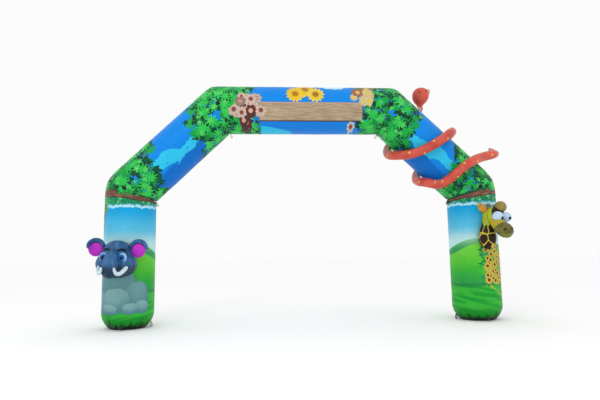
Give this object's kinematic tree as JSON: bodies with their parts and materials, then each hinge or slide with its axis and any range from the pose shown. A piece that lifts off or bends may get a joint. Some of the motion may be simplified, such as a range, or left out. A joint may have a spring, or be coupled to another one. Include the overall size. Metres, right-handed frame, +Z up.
{
  "type": "inflatable arch",
  "caption": "Inflatable event arch of fat round tube with slanted shoulders and a straight bar, printed with leaves, with an elephant's head, a giraffe's head and a coiled snake on its front.",
  "frame": {"origin": "the middle of the underside of the whole part's box, on the ground. The arch's own middle is at X -0.030, Y 0.211", "axes": "+Z up, +X along the bar towards the leg with the giraffe, -Y out of the front"},
  "size_m": [8.493, 1.8444, 5.112],
  "materials": {
    "printed_cloth": "coated cloth, printed all over with leaves in several greens, satin",
    "leg_cloth": "coated cloth, printed with sky, hills and grass, satin",
    "black_cloth": "plain coated cloth, satin",
    "black_webbing": "woven webbing, matt",
    "blue_grey_cloth": "plain coated cloth, satin",
    "magenta_cloth": "plain coated cloth, satin",
    "ivory_cloth": "plain coated cloth, satin",
    "blue_cloth": "plain coated cloth, satin",
    "dark_cloth": "plain coated cloth, satin",
    "yellow_green_cloth": "coated cloth, the neck printed with dark brown patches, satin",
    "olive_cloth": "plain coated cloth, satin",
    "red_cloth": "coated cloth with small yellow spots, satin",
    "cream_cloth": "plain coated cloth, satin"
  },
  "bodies": {
    "root": {"bar": "printed_cloth", "shoulder_left": "printed_cloth", "shoulder_right": "printed_cloth", "leg_left": "leg_cloth", "leg_right": "leg_cloth", "base_left": "black_cloth", "base_right": "black_cloth", "patch_lower_left_front": "black_cloth", "patch_lower_left_back": "black_cloth", "patch_lower_right_front": "black_cloth", "patch_lower_right_back": "black_cloth", "patch_upper_left_front": "black_cloth", "patch_upper_left_back": "black_cloth", "patch_upper_right_front": "black_cloth", "patch_upper_right_back": "black_cloth", "loop_foot_left_back": "black_webbing", "loop_foot_left_front": "black_webbing", "loop_foot_left_inner": "black_webbing", "loop_foot_right_back": "black_webbing", "loop_foot_right_front": "black_webbing", "loop_foot_right_inner": "black_webbing", "loop_lower_left": "black_webbing", "loop_lower_right": "black_webbing", "loop_upper_left": "black_webbing", "loop_upper_right": "black_webbing", "elephant_head": "blue_grey_cloth", "elephant_trunk": "blue_grey_cloth", "elephant_ear_left": "blue_grey_cloth", "elephant_ear_right": "blue_grey_cloth", "elephant_lining_left": "magenta_cloth", "elephant_lining_right": "magenta_cloth", "elephant_eye_left": "ivory_cloth", "elephant_eye_right": "ivory_cloth", "elephant_tusk_left": "ivory_cloth", "elephant_tusk_right": "ivory_cloth", "giraffe_eye_near": "ivory_cloth", "giraffe_eye_far": "ivory_cloth", "elephant_iris_left": "blue_cloth", "elephant_iris_right": "blue_cloth", "elephant_pupil_left": "dark_cloth", "elephant_pupil_right": "dark_cloth", "elephant_brow_left": "dark_cloth", "elephant_brow_right": "dark_cloth", "giraffe_pupil_near": "dark_cloth", "giraffe_pupil_far": "dark_cloth", "giraffe_neck": "yellow_green_cloth", "giraffe_head": "yellow_green_cloth", "giraffe_ear_near": "yellow_green_cloth", "giraffe_muzzle": "olive_cloth", "giraffe_ear_far": "olive_cloth", "giraffe_horn_near": "olive_cloth", "giraffe_horn_far": "olive_cloth", "snake_body": "red_cloth", "snake_tail": "red_cloth", "snake_head": "red_cloth", "snake_eye_front": "cream_cloth", "snake_eye_back": "cream_cloth"}
  },
  "joints": []
}
